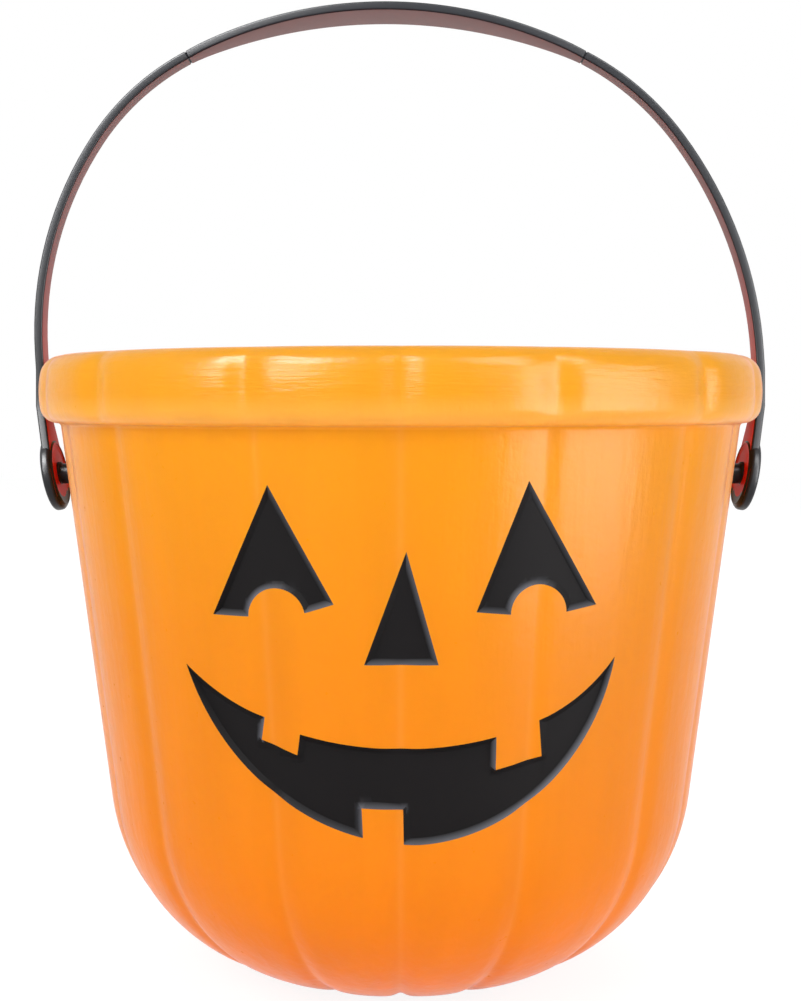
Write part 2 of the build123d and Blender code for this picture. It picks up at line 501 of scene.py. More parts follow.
ORANGE_SHELL = MouldedFinish(
    name="orange_shell",
    # Colour graded with height: partly the plastic's own tone, partly painted light, paler and yellower
    # towards the top where more light falls from above.
    stops=(
        (0.0, linear(237, 121, 12)),
        (0.3, linear(236, 131, 12)),
        (0.6, linear(234, 137, 11)),
        (0.888, linear(236, 150, 8)),
        # Pale band from 0.895 to 0.935 over the collar's lower rounding: a painted reflection of the pale
        # floor in front.
        (0.895, linear(246, 170, 70)),
        (0.915, linear(240, 166, 56)),
        (0.935, linear(236, 156, 26)),
        (1.0, linear(236, 160, 32)),
    ),
    top_height=175.5,
    roughness=(0.25, 0.34),
    grain_size=420.0,
    grain_share=0.6,
    wave_share=0.6,
    ripple_start=161.0,
    bump_distance=0.35,
    bump_strength=1.0,
    tone_swing=0.1,
    # Painted highlight along the grooves, blended in where the mesh's crease attribute marks it.
    painted_light_attribute="crease",
    painted_light_colour=linear(253, 186, 112),
    specular=0.12,
    sheen=0.75,
    sheen_tint=linear(255, 186, 180),
    sheen_roughness=0.16,
    subsurface=0.15,
)
BLACK_HANDLE = MouldedFinish(
    name="black_handle",
    stops=((0.0, linear(24, 23, 26)), (1.0, linear(26, 29, 36))),
    top_height=280.0,
    roughness=(0.32, 0.44),
    grain_size=1500.0,
    bump_distance=0.08,
    specular=0.26,
)
# Painted reflection: the handle's faces that look towards the pail are red low down, as if reflecting the
# orange wall, and mauve higher up, as if reflecting the pale room.
HANDLE_PAINTED_REFLECTION = MouldedFinish(
    name="handle_painted_reflection",
    stops=(
        (0.0, linear(214, 34, 30)),
        (0.55, linear(222, 42, 36)),
        (0.63, linear(172, 82, 80)),
        (0.75, linear(140, 98, 98)),
        (1.0, linear(128, 103, 105)),
    ),
    top_height=280.0,
    roughness=(0.4, 0.5),
    grain_size=1500.0,
    bump_distance=0.08,
    specular=0.12,
)
FACE_BLACK = MouldedFinish(
    name="face_black",
    stops=((0.0, linear(21, 19, 20)), (1.0, linear(23, 21, 22))),
    top_height=175.5,
    roughness=(0.55, 0.65),
    grain_size=1200.0,
    bump_distance=0.05,
    # Painted light on the slopes at the lower and right edges of each sunk shape: grey at the top of the
    # slope, fading to black down it.
    painted_light_attribute="edge_light",
    painted_light_colour=linear(104, 106, 114),
    specular=0.05,
)


# Pail


@dataclass
class PailShell:
    """The lobed orange shell with its hollow collar."""

    height: float = 175.5
    wall: float = 2.4
    foot_radius: float = 77.6
    corner_round: float = 57.5
    shoulder_radius: float = 98.9
    shoulder_round: float = 1.1
    rim_radius: float = 105.0
    rim_height: float = 19.0
    rim_lower_round: float = 5.0
    rim_top_round: float = 6.0
    rim_bulge: float = 10.0
    mouth_radius: float = 98.0
    lip_round: float = 0.6
    pivot_drop: float = 15.3
    peg_hole_radius: float = 3.1
    quarter_grooves: Tuple[float, ...] = (0.0, 21.0, 48.3, 69.2)
    crown_drop: float = 0.45
    crown_power: float = 2.4
    wall_crease: Point = (0.65, 2.1)
    rim_crease: Point = (1.7, 2.5)
    rim_blend: float = 0.2
    rim_edge_dent: float = 0.3
    strap_dent: float = 0.2
    strap_reach: Point = (12.0, 37.0)
    # Painted highlight along each groove: its width in degrees and its strength.
    groove_highlight_width: float = 0.65
    groove_highlight_strength: float = 0.07
    lobe_start_radius: float = 46.0
    lobe_columns: int = 30
    column_crowding: float = 0.75
    settle_rounds: int = 4
    # Share of the painted groove highlight that fades out on the collar.
    rim_highlight_fade: float = 0.75
    base_steps: int = 4
    corner_steps: int = 30
    wall_steps: int = 30
    round_steps: int = 6
    rim_steps: Tuple[int, int, int] = (10, 8, 12)
    lip_steps: int = 4
    inner_wall_steps: int = 20
    inner_corner_steps: int = 24
    hole_columns: int = 32
    sharp_angle: float = 40.0

    @property
    def rim_bottom(self) -> float:
        """Height of the collar's lower edge."""
        return self.height - self.rim_height

    @property
    def tilt(self) -> float:
        """Lean of the wall from upright, in radians."""
        return math.atan2(self.shoulder_radius - self.foot_radius, self.rim_bottom)

    @property
    def base_radius(self) -> float:
        """Radius of the flat base inside the corner's curve."""
        return self.foot_radius - self.corner_round * math.tan(math.pi / 4 - self.tilt / 2)

    @property
    def pivot_height(self) -> float:
        """Height of the handle's pegs."""
        return self.rim_bottom - self.pivot_drop

    def grooves(self) -> List[float]:
        """Azimuths of all grooves round the pail, in order, closed by a full turn."""
        half = [*self.quarter_grooves, 90.0, *(180 - turn for turn in reversed(self.quarter_grooves))]
        return [*half, *(360 - turn for turn in reversed(half[:-1]))]

    def azimuths(self) -> List[float]:
        """Azimuths of the mesh's columns, crowded towards the grooves.

        Returns:
            The azimuths of one full turn, in degrees.
        """
        steps = [step / self.lobe_columns for step in range(self.lobe_columns)]
        shares = [step - self.column_crowding * math.sin(math.tau * step) / math.tau for step in steps]
        grooves = self.grooves()
        lobes = zip(grooves, grooves[1:])
        return [between(before, after, share) for before, after in lobes for share in shares]

    def lobe_place(self, azimuth: float) -> Point:
        """Where an azimuth lies on its lobe.

        Args:
            azimuth: Degrees from the front, towards +X.

        Returns:
            The share of the way from the lobe's crown to its edge, and the degrees from the nearest groove.
        """
        turn = azimuth % 360
        grooves = self.grooves()
        for before, after in zip(grooves, grooves[1:]):
            if before <= turn <= after:
                return abs(2 * (turn - before) / (after - before) - 1), min(turn - before, after - turn)
        return 0.0, 0.0

    def lobe_drop(self, azimuth: float, height: float) -> float:
        """How far the skin lies inside the lobes' crowns.

        Args:
            azimuth: Degrees from the front, towards +X.
            height: Height of the point, since the collar is dented and the wall is only creased.

        Returns:
            The drop at full lobe depth, in millimetres.
        """
        share, away = self.lobe_place(azimuth)
        rise = unit((height - self.rim_bottom) / self.rim_height)
        on_rim = smooth_step(rise / self.rim_blend)
        dent = between(self.rim_edge_dent, 1, math.sin(math.pi * rise))
        near, far = self.strap_reach
        beside_strap = abs(abs((azimuth % 360) - 180) - 90)
        kept = between(self.strap_dent, 1, smooth_step((beside_strap - near) / (far - near)))
        depth = kept * between(self.wall_crease[0], self.rim_crease[0] * dent, on_rim)
        spread = between(self.wall_crease[1], self.rim_crease[1], on_rim)
        crease = depth * math.exp(-((away / spread) ** 2))
        return crease + (1 + kept) / 2 * self.crown_drop * share**self.crown_power

    def groove_highlight_share(self, point: Vector) -> float:
        """How much of the painted highlight along a groove a point gets.

        Args:
            point: Point of the shell, in millimetres.

        Returns:
            The share, from 0 to 1.
        """
        radius = math.hypot(point.x, point.y)
        away = self.lobe_place(math.degrees(math.atan2(point.x, -point.y)))[1]
        fade = 1 - self.rim_highlight_fade * smooth_step((point.z - self.rim_bottom) / self.rim_lower_round)
        line = math.exp(-((away / self.groove_highlight_width) ** 2))
        return self.groove_highlight_strength * line * self.lobe_weight(radius) * fade

    def facing(self, radius: float, height: float) -> Point:
        """Direction that the skin faces in its section.

        Args:
            radius: Radius of the section's point.
            height: Height of the section's point.

        Returns:
            The outward and upward parts of the direction.
        """
        if height >= self.corner_round:
            return 1.0, 0.0
        out, up = max(0.0, radius - self.base_radius), height - self.corner_round
        length = math.hypot(out, up)
        return out / length, up / length

    def lobe_weight(self, radius: float) -> float:
        """Share of the full lobe depth at this radius: none on the flat base, all on the wall."""
        return smooth_step((radius - self.base_radius) / (self.lobe_start_radius - self.base_radius))

    def wall_radius(self, height: float) -> float:
        """Radius of the lobes' crowns on the shell's side.

        Args:
            height: Height of the point.

        Returns:
            The radius there.
        """
        foot = self.corner_round * (1 - math.sin(self.tilt))
        if height < foot:
            return self.base_radius + math.sqrt(self.corner_round**2 - (self.corner_round - height) ** 2)
        return self.foot_radius + height * math.tan(self.tilt)

    def skin_point(self, across: float, height: float, inset: float) -> Vector:
        """Point of the front wall seen at a place of the front view.

        Args:
            across: X of the place.
            height: Z of the place.
            inset: Depth below the skin.

        Returns:
            The point in millimetres.
        """
        crown = self.wall_radius(height)
        radius = crown - inset
        for _ in range(self.settle_rounds):
            azimuth = math.degrees(math.asin(across / radius))
            radius = crown - inset - self.lobe_drop(azimuth, height) * self.lobe_weight(crown)
        return Vector((across, -math.sqrt(radius**2 - across**2), height))

    def crown_point(self, across: float, height: float, inset: float) -> Vector:
        """Point of the front view laid below the lobes' crowns, as if there were no grooves."""
        radius = self.wall_radius(height) - inset
        return Vector((across, -math.sqrt(radius**2 - across**2), height))

    def place(self, radius: float, height: float, azimuth: float) -> Vector:
        """Point of the lobed shell for a point of its section.

        Args:
            radius: Radius of the section's point.
            height: Height of the section's point.
            azimuth: Degrees from the front, towards +X.

        Returns:
            The point in millimetres.
        """
        drop = self.lobe_drop(azimuth, height) * self.lobe_weight(radius)
        out, up = self.facing(radius, height)
        reach = radius - drop * out
        turn = math.radians(azimuth)
        return Vector((reach * math.sin(turn), -reach * math.cos(turn), height - drop * up))

    def section(self) -> List[Point]:
        """Half section of the shell: out along the base, up the skin, over the lip and down the inside.

        Returns:
            Radius and height of each point.
        """
        tilt = math.degrees(self.tilt)
        centre = (self.base_radius, self.corner_round)
        fillet_height = self.rim_bottom - self.shoulder_round
        fillet_radius = self.wall_radius(fillet_height) + self.shoulder_round / math.cos(self.tilt)
        fillet_centre = (fillet_radius, fillet_height)
        inner_top = self.rim_bottom + self.wall
        inner_wall = (self.wall_radius(inner_top) - self.wall / math.cos(self.tilt), inner_top)
        corner = arc_points(centre, self.corner_round, -90, -tilt, self.corner_steps)
        inner_corner = arc_points(centre, self.corner_round - self.wall, -tilt, -90, self.inner_corner_steps)
        fillet = arc_points(fillet_centre, self.shoulder_round, 180 - tilt, 90, self.round_steps)
        return joined(
            (
                line_points((0.0, 0.0), corner[0], self.base_steps),
                corner,
                line_points(corner[-1], fillet[0], self.wall_steps),
                fillet,
                *self.collar(),
                line_points(inner_wall, inner_corner[0], self.inner_wall_steps),
                inner_corner,
                line_points(inner_corner[-1], (0.0, self.wall), self.base_steps),
            )
        )

    def collar(self) -> List[List[Point]]:
        """Half section of the collar: round its bowed outside, over the lip and back along its hollow.

        Returns:
            Runs of radius and height, in order.
        """
        bulge = math.radians(self.rim_bulge)
        low = self.rim_bottom + self.rim_lower_round
        high = self.height - self.rim_top_round
        low_end = low - self.rim_lower_round * math.sin(bulge)
        high_end = high + self.rim_top_round * math.sin(bulge)
        bow_radius = (high_end - low_end) / (2 * math.sin(bulge))
        bow = (self.rim_radius - bow_radius, (low_end + high_end) / 2)
        lower = (bow[0] + (bow_radius - self.rim_lower_round) * math.cos(bulge), low)
        upper = (bow[0] + (bow_radius - self.rim_top_round) * math.cos(bulge), high)
        lip = self.mouth_radius + self.lip_round
        lip_top, lip_bottom = self.height - self.lip_round, self.height - self.wall + self.lip_round
        lower_steps, bow_steps, upper_steps = self.rim_steps
        return [
            arc_points(lower, self.rim_lower_round, -90, -self.rim_bulge, lower_steps),
            arc_points(bow, bow_radius, -self.rim_bulge, self.rim_bulge, bow_steps),
            arc_points(upper, self.rim_top_round, self.rim_bulge, 90, upper_steps),
            arc_points((lip, lip_top), self.lip_round, 90, 180, self.lip_steps),
            arc_points((lip, lip_bottom), self.lip_round, 180, 270, self.lip_steps),
            arc_points(upper, self.rim_top_round - self.wall, 90, 0, self.round_steps),
            arc_points(lower, self.rim_lower_round - self.wall, 0, -90, self.round_steps),
        ]

    def peg_hole_cutter(self) -> Mesh:
        """A bar that cuts both peg holes.

        Returns:
            Vertices and faces.
        """
        ring = arc_points((0.0, self.pivot_height), self.peg_hole_radius, 0, 360, self.hole_columns)[:-1]
        count = len(ring)
        vertices = [(end, y, z) for end in (-self.rim_radius, self.rim_radius) for y, z in ring]
        return vertices, [*band_faces(2, count), tuple(range(count)), tuple(range(count, 2 * count))]

    def build(self, face: "CarvedFace") -> bpy.types.Object:
        """Makes the shell's mesh with its face pockets and peg holes.

        Args:
            face: The face whose pockets are cut.

        Returns:
            The shell.
        """
        vertices, faces = turned(self.section(), self.azimuths(), self.place)
        shell = mesh_object("pail_shell", vertices, faces)
        cut_by(shell, mesh_object("peg_cutter", *self.peg_hole_cutter()))
        for name in face.outlines():
            cut_by(shell, face.cutter(name))
        smooth_shaded(shell, self.sharp_angle)
        # Marks the painted highlight along the grooves, which the orange finish blends in.
        mark_points(shell, ORANGE_SHELL.painted_light_attribute, self.groove_highlight_share)
        return shell

    def dress(self, shell: bpy.types.Object, group: bpy.types.NodeTree) -> None:
        """Gives the shell its finish, body and slot.

        Args:
            shell: The shell's object.
            group: The moulded surface node group.
        """
        shell.data.materials.clear()
        shell.data.materials.append(ORANGE_SHELL.material(group))
        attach(shell, Body.PAIL.value)
        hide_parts("pail")


# Face


@dataclass
class CarvedFace:
    """The black face, sunk into the wall with a sloping edge all round each shape."""

    shell: PailShell
    depth: float = 1.5
    bevel: float = 1.45
    lip: float = 0.06
    backing: float = 0.25
    clear: float = 6.0
    spacing: float = 0.9
    grid: float = 1.5
    narrow_share: float = 0.95
    sharp_angle: float = 8.0
    # Direction in the front view that the painted light on the slopes comes from.
    lit_from: Point = (-0.8, 0.6)
    eye_size: Point = (30.0, 32.3)
    left_eye_corner: Point = (-45.9, 110.3)
    right_eye_corner: Point = (18.1, 111.3)
    left_eye: Tuple[Point, ...] = ((0, 0), (0.30, 0), (0.535, 0.225), (0.764, 0.046), (1, 0.118), (0.471, 1))
    right_eye: Tuple[Point, ...] = ((0, 0.028), (0.28, 0), (0.505, 0.218), (0.743, 0), (1, 0.04), (0.417, 1))
    nose_size: Point = (17.8, 27.4)
    nose_corner: Point = (-8.7, 99.5)
    nose: Tuple[Point, ...] = ((0, 0), (1, 0), (0.567, 1))
    mouth_size: Point = (53.5, 44.0)
    mouth_corner: Point = (0.0, 54.8)
    smile_left: Tuple[Point, ...] = ((-1, 0.96), (-0.80, 0.79), (-0.62, 0.695))
    left_tooth: Tuple[Point, ...] = ((-0.62, 0.695), (-0.635, 0.565), (-0.468, 0.495), (-0.455, 0.615))
    smile_middle: Tuple[Point, ...] = ((-0.455, 0.615), (0.025, 0.548), (0.434, 0.602))
    right_tooth: Tuple[Point, ...] = ((0.434, 0.602), (0.432, 0.414), (0.647, 0.470), (0.634, 0.677))
    smile_right: Tuple[Point, ...] = ((0.634, 0.677), (0.82, 0.795), (1, 1))
    chin_right: Tuple[Point, ...] = ((1, 1), (0.832, 0.509), (0.015, 0))
    lower_tooth: Tuple[Point, ...] = ((0.015, 0), (0.012, 0.2), (-0.176, 0.21), (-0.170, 0.041))
    chin_left: Tuple[Point, ...] = ((-0.170, 0.041), (-0.738, 0.434), (-1, 0.96))

    def spread(self, shares: Sequence[Point], corner: Point, size: Point) -> List[Point]:
        """Places of the front view from their shares of a width and a height."""
        return [(corner[0] + across * size[0], corner[1] + up * size[1]) for across, up in shares]

    def straight(self, corners: Sequence[Point]) -> List[Point]:
        """Closely spaced points along a run of straight edges.

        Args:
            corners: Corners of the run, in order.

        Returns:
            The points, both ends included.
        """
        runs = [
            line_points(first, last, max(1, math.ceil(math.dist(first, last) / self.spacing)))
            for first, last in zip(corners, corners[1:])
        ]
        return joined(runs)

    def eye(self, shares: Sequence[Point], corner: Point) -> List[Point]:
        """Outline of an eye: a tall triangle with a round bite out of its lower edge.

        Args:
            shares: Its points as shares of an eye's width and height.
            corner: Lower left corner of the eye's box.

        Returns:
            The points, in order.
        """
        left, bite_left, bite_top, bite_right, right, apex = self.spread(shares, corner, self.eye_size)
        return joined(
            (
                self.straight((left, bite_left)),
                arc_through(bite_left, bite_top, bite_right, self.spacing),
                self.straight((bite_right, right, apex, left)),
            )
        )[:-1]

    def grin(self) -> List[Point]:
        """Outline of the mouth: a wide grin with two upper teeth and one lower tooth.

        Returns:
            The points, in order.
        """
        runs = []
        for shares, curved in (
            (self.smile_left, True),
            (self.left_tooth, False),
            (self.smile_middle, True),
            (self.right_tooth, False),
            (self.smile_right, True),
            (self.chin_right, True),
            (self.lower_tooth, False),
            (self.chin_left, True),
        ):
            places = self.spread(shares, self.mouth_corner, self.mouth_size)
            runs.append(arc_through(*places, self.spacing) if curved else self.straight(places))
        return joined(runs)[:-1]

    def outlines(self) -> Dict[str, List[Point]]:
        """Closed outlines of the four shapes in the front view.

        Returns:
            The outlines, by the name of the CAD node that each shape stands for.
        """
        corners = self.spread(self.nose, self.nose_corner, self.nose_size)
        shapes = {
            "left_eye": self.eye(self.left_eye, self.left_eye_corner),
            "right_eye": self.eye(self.right_eye, self.right_eye_corner),
            "nose": self.straight((*corners, corners[0]))[:-1],
            "mouth": self.grin(),
        }
        return {name: self.anticlockwise(points) for name, points in shapes.items()}

    def anticlockwise(self, points: List[Point]) -> List[Point]:
        """The outline in anticlockwise order, as seen from the front."""
        twice = sum(a[0] * b[1] - b[0] * a[1] for a, b in zip(points, [*points[1:], points[0]]))
        return points if twice > 0 else points[::-1]

    def inward(self, points: Sequence[Point]) -> List[Vector]:
        """Directions from an outline into its shape.

        Args:
            points: Anticlockwise outline.

        Returns:
            A unit direction for each point.
        """
        flat = [Vector(point) for point in points]
        directions = []
        for before, here, after in zip([flat[-1], *flat], flat, [*flat[1:], flat[0]]):
            along = (here - before).normalized() + (after - here).normalized()
            directions.append(Vector((-along.y, along.x)).normalized())
        return directions

    def inner_outline(self, points: Sequence[Point]) -> List[Point]:
        """The outline drawn in by the width of the sloping edge, or by less where the shape is narrow.

        Args:
            points: Anticlockwise outline.

        Returns:
            One inner point for each outline point.
        """
        flat = [Vector(point) for point in points]
        inner = []
        for here, normal in zip(flat, self.inward(points)):
            reach = self.bevel
            for other in flat:
                gap = other - here
                ahead = gap.dot(normal)
                if ahead > TOUCHING:
                    reach = min(reach, self.narrow_share * gap.length_squared / (2 * ahead))
            inner.append(tuple(here + normal * reach))
        return inner

    def edge(self, place: Point, outline: Sequence[Point]) -> Tuple[float, Point]:
        """The outline's nearest edge to a place of the front view.

        Args:
            place: Place inside the shape.
            outline: Anticlockwise outline of the shape.

        Returns:
            The share of the way down the sloping edge, from 0 to 1, and the direction into the shape there.
        """
        x, z = place
        reach = self.bevel + self.spacing
        nearest, facing = math.inf, (0.0, 0.0)
        for (ax, az), (bx, bz) in zip(outline, [*outline[1:], outline[0]]):
            if abs(x - ax) > reach or abs(z - az) > reach:
                continue
            run_x, run_z = bx - ax, bz - az
            length = math.hypot(run_x, run_z)
            share = unit(((x - ax) * run_x + (z - az) * run_z) / length**2)
            away = math.hypot(x - ax - share * run_x, z - az - share * run_z)
            if away < nearest:
                nearest, facing = away, (-run_z / length, run_x / length)
        return min(1.0, nearest / self.bevel), facing

    def flat(self, rings: Sequence[Sequence[Point]]) -> bmesh.types.BMesh:
        """A shape filled in the front view and cut into a fine grid, so that it can be bent round the wall.

        Args:
            rings: Outlines with equally many points, from the outermost to the one that is filled.

        Returns:
            The flat shape, in millimetres.
        """
        build = bmesh.new()
        loops = [[build.verts.new((x, 0.0, z)) for x, z in ring] for ring in rings]
        for outer, inner in zip(loops, loops[1:]):
            for corners in zip(outer, [*outer[1:], outer[0]], [*inner[1:], inner[0]], inner):
                build.faces.new(corners)
        build.faces.new(loops[-1])
        bmesh.ops.triangulate(build, faces=build.faces)
        for direction in (Vector((1, 0, 0)), Vector((0, 0, 1))):
            places = [vertex.co.dot(direction) for vertex in build.verts]
            low, high = min(places), max(places)
            for cut in range(1, math.ceil((high - low) / self.grid)):
                bmesh.ops.bisect_plane(
                    build,
                    geom=[*build.verts, *build.edges, *build.faces],
                    plane_co=direction * (low + cut * self.grid),
                    plane_no=direction,
                )
        return build

    def finished(self, name: str, build: bmesh.types.BMesh) -> bpy.types.Object:
        """Turns a built mesh into an object.

        Args:
            name: Name of the object.
            build: The built mesh, in millimetres, which is freed.

        Returns:
            The object.
        """
        build.verts.index_update()
        vertices = [vertex.co.copy() for vertex in build.verts]
        faces = [[vertex.index for vertex in face.verts] for face in build.faces]
        build.free()
        return mesh_object(name, vertices, faces)

    def cutter(self, name: str) -> bpy.types.Object:
        """A closed mesh that cuts one shape's pocket.

        Args:
            name: Name of the shape.

        Returns:
            The cutter.
        """
        build = self.flat([self.outlines()[name]])
        for vertex in build.verts:
            vertex.co = self.shell.crown_point(vertex.co.x, vertex.co.z, self.depth + self.backing)
        front = bmesh.ops.extrude_face_region(build, geom=list(build.faces))
        for vertex in front["geom"]:
            if isinstance(vertex, bmesh.types.BMVert):
                vertex.co = self.shell.crown_point(vertex.co.x, vertex.co.z, -self.clear)
        return self.finished(f"{name}_cutter", build)

    def build(self, name: str) -> bpy.types.Object:
        """Makes one shape: a sunk floor with a sloping edge up to the skin.

        Args:
            name: Name of the CAD node that the shape stands for.

        Returns:
            The shape.
        """
        outline = self.outlines()[name]
        build = self.flat([outline, self.inner_outline(outline)])
        for vertex in build.verts:
            across, height = vertex.co.x, vertex.co.z
            floor = self.shell.crown_point(across, height, self.depth)
            share, _ = self.edge((across, height), outline)
            vertex.co = self.shell.skin_point(across, height, self.lip).lerp(floor, share)
        shape = self.finished(f"{name}_inlay", build)
        if sum(face.normal.y * face.area for face in shape.data.polygons) > 0:
            shape.data.flip_normals()

        def lit(point: Vector) -> float:
            """How much painted light the sloping edge gets at a point: most at its top, and only where the
            slope faces the lit side.
            """
            share, facing = self.edge((point.x, point.z), outline)
            return (1 - share) * max(0.0, Vector(facing).dot(Vector(self.lit_from)))

        # Marks the painted light on the slopes that face the lit side.
        mark_points(shape, FACE_BLACK.painted_light_attribute, lit)
        return shape

    def dress(self, name: str, shape: bpy.types.Object, finish: bpy.types.Material) -> None:
        """Gives a shape its finish, body and slot.

        Args:
            name: Name of the CAD node that it stands for.
            shape: The shape's object.
            finish: Its material.
        """
        smooth_shaded(shape, self.sharp_angle)
        shape.data.materials.append(finish)
        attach(shape, Body.PAIL.value)
        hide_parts(name)


# Handle


@dataclass
class SwingHandle:
    """The black handle: an arched strap with a wide grip, round ends and snap pegs."""

    shell: PailShell
    thickness: float = 2.5
    width: float = 7.6
    grip_width: float = 18.0
    grip_half_length: float = 77.0
    leg_foot_width: float = 18.0
    seam: float = 58.9
    seam_width: float = 0.5
    seam_depth: float = 0.3
    seam_marks: Tuple[float, ...] = (-1.5, -0.5, 0.0, 0.5, 1.5)
    seam_floor: float = 0.1
    lean: float = 4.5
    lean_start: float = 172.0
    lean_power: float = 1.5
    edge_round: float = 0.6
    edge_steps: int = 5
    clearance: float = 0.4
    straight: float = 15.6
    top_radius: float = 140.0
    shoulder_radius: float = 79.0
    top_turn: float = 22.0
    shoulder_turn: float = 55.0
    path_steps: Tuple[int, ...] = (10, 6, 16, 16, 18)
    groove_depth: float = 1.1
    peg_standoff: float = 5.8
    peg_radius: float = 3.0
    peg_play: float = 0.9
    peg_root: float = 1.0
    peg_flare: float = 0.5
    peg_flare_ends: Point = (0.3, 0.8)
    peg_columns: int = 32
    head_radius: float = 4.2
    head_tip_radius: float = 2.2
    head_length: float = 6.0
    head_edge: float = 0.3
    head_land: float = 0.9
    head_tip_edge: float = 0.4
    disc_radius: float = 10.75
    disc_thickness: float = 3.1
    disc_round: float = 1.1
    disc_step: float = 0.1
    disc_step_turn: float = -80.0
    disc_crown: float = 0.15
    disc_crown_shares: Point = (0.5, 0.8)
    disc_columns: int = 64
    ridge_radius: float = 9.2
    ridge_height: float = 0.45
    ridge_feet: Tuple[float, float, float] = (2.2, 1.2, 0.9)
    ridge_foot_share: float = 0.15
    ridge_sink_share: float = 0.2
    ridge_bow_share: float = 0.8
    ridge_turns: Point = (-150.0, -30.0)
    round_steps: int = 6
    sharp_angle: float = 35.0
    inner_margin: float = 1.0
    inward_limit: float = 0.93

    @property
    def groove_wall(self) -> float:
        """Radius of the wall where a peg goes through it."""
        shell = self.shell
        return shell.shoulder_radius - shell.pivot_drop * math.tan(shell.tilt) - self.groove_depth

    @property
    def disc_inner(self) -> float:
        """X of the middle of a round end's inner face."""
        return self.groove_wall + self.peg_standoff

    @property
    def strap_middle(self) -> float:
        """X of the middle of the upright strap's thickness."""
        return self.shell.rim_radius + self.clearance + self.thickness / 2

    @property
    def bend_height(self) -> float:
        """Height at which the legs begin to lean in."""
        return self.shell.rim_bottom + self.shell.rim_lower_round

    @property
    def leg_tilt(self) -> float:
        """Lean of the legs, in radians."""
        reach = self.shell.rim_radius + self.clearance - self.disc_inner
        return math.atan2(reach, self.bend_height - self.shell.pivot_height)

    def half_path(self) -> List[Point]:
        """Middle line of the strap from the right peg up to the top of the arch.

        Returns:
            X and Z of each point.
        """
        half = self.thickness / 2
        foot = (self.disc_inner + half, self.shell.pivot_height)
        knee = (self.strap_middle, self.bend_height)
        hip = (self.strap_middle, self.bend_height + self.straight)
        turns = (self.top_turn, self.shoulder_turn)
        top_sine, shoulder_sine = (math.sin(math.radians(turn)) for turn in turns)
        reach = self.strap_middle + half - self.top_radius * top_sine
        side = (reach - self.shoulder_radius * (shoulder_sine - top_sine)) / (1 - shoulder_sine)
        leg_steps, upright_steps, *arch_steps = self.path_steps
        runs = [line_points(foot, knee, leg_steps), line_points(knee, hip, upright_steps)]
        centre, radius, start = (self.strap_middle + half - side, hip[1]), side, 0.0
        bends = ((side, self.shoulder_turn), (self.shoulder_radius, self.top_turn), (self.top_radius, 0.0))
        for (next_radius, left), steps in zip(bends, arch_steps):
            centre = self.next_centre(centre, radius, next_radius, start)
            runs.append(arc_points(centre, next_radius - half, start, 90 - left, steps))
            radius, start = next_radius, 90 - left
        return joined(runs)

    def next_centre(self, centre: Point, radius: float, next_radius: float, turn: float) -> Point:
        """Centre of the arc that carries on smoothly from another.

        Args:
            centre: Centre of the arc before.
            radius: Radius of the arc before.
            next_radius: Radius of this arc.
            turn: Angle at which the two meet, in degrees.

        Returns:
            The centre.
        """
        angle = math.radians(turn)
        shift = radius - next_radius
        return (centre[0] + shift * math.cos(angle), centre[1] + shift * math.sin(angle))

    def path(self) -> List[Point]:
        """Middle line of the whole strap, from the right peg to the left one."""
        half = self.half_path()
        return [*half, *((-x, z) for x, z in reversed(half[:-1]))]

    def stations(self) -> List[Tuple[float, float, float, float]]:
        """Stations along the strap, with a fine seam at each end of the grip.

        Returns:
            X, Z, half width and half thickness of each, in order from the right peg to the left one.
        """
        path = self.path()
        marks = [self.seam + share * self.seam_width for share in self.seam_marks]
        places: List[Point] = []
        for (x, z), (next_x, next_z) in zip(path, path[1:]):
            places.append((x, z))
            passed = [side * mark for mark in marks for side in (-1, 1) if next_x < side * mark < x]
            for stop in sorted(passed, reverse=True):
                places.append((stop, z + (next_z - z) * (stop - x) / (next_x - x)))
        places.append(path[-1])
        top = max(z for _, z in path)
        rows = []
        for x, z in places:
            in_seam = abs(abs(x) - self.seam) < self.seam_floor and z > self.lean_start
            pinch = self.seam_depth if in_seam else 0.0
            rise = unit((z - self.lean_start) / (top - self.lean_start))
            shift = self.lean * (1 - (1 - rise) ** self.lean_power)
            rows.append((x - shift, z, self.half_width(x, z) - pinch, self.thickness / 2 - pinch))
        return rows

    def half_width(self, across: float, height: float) -> float:
        """Half width of the leg, strap or grip.

        Args:
            across: X of the place.
            height: Z of the place.

        Returns:
            The half width there.
        """
        if height < self.bend_height:
            foot = (self.bend_height - height) / (self.bend_height - self.shell.pivot_height)
            return (self.width + (self.leg_foot_width - self.width) * foot) / 2
        bow = self.grip_width / 2
        leaf_radius = (self.grip_half_length**2 + bow**2) / (2 * bow)
        leaf = math.sqrt(leaf_radius**2 - min(abs(across), self.grip_half_length) ** 2) - (leaf_radius - bow)
        return max(self.width / 2, leaf)

    def strap(self) -> Mesh:
        """The strap with its grip, closed at both ends.

        Returns:
            Vertices and faces.
        """
        rows = self.stations()
        vertices: List[Sequence[float]] = []
        for spot, (x, z, wide, half) in enumerate(rows):
            before, after = rows[max(0, spot - 1)], rows[min(len(rows) - 1, spot + 1)]
            along = Vector((after[0] - before[0], 0, after[1] - before[1])).normalized()
            out = Vector((along.z, 0, -along.x))
            ring = self.strap_ring(wide, half)
            vertices += [Vector((x, 0, z)) + Vector((0, side, 0)) + out * off for side, off in ring]
        size = len(vertices) // len(rows)
        last = len(vertices) - size
        ends = [tuple(range(start, start + size)) for start in (0, last)]
        return vertices, [*band_faces(len(rows), size), *ends]

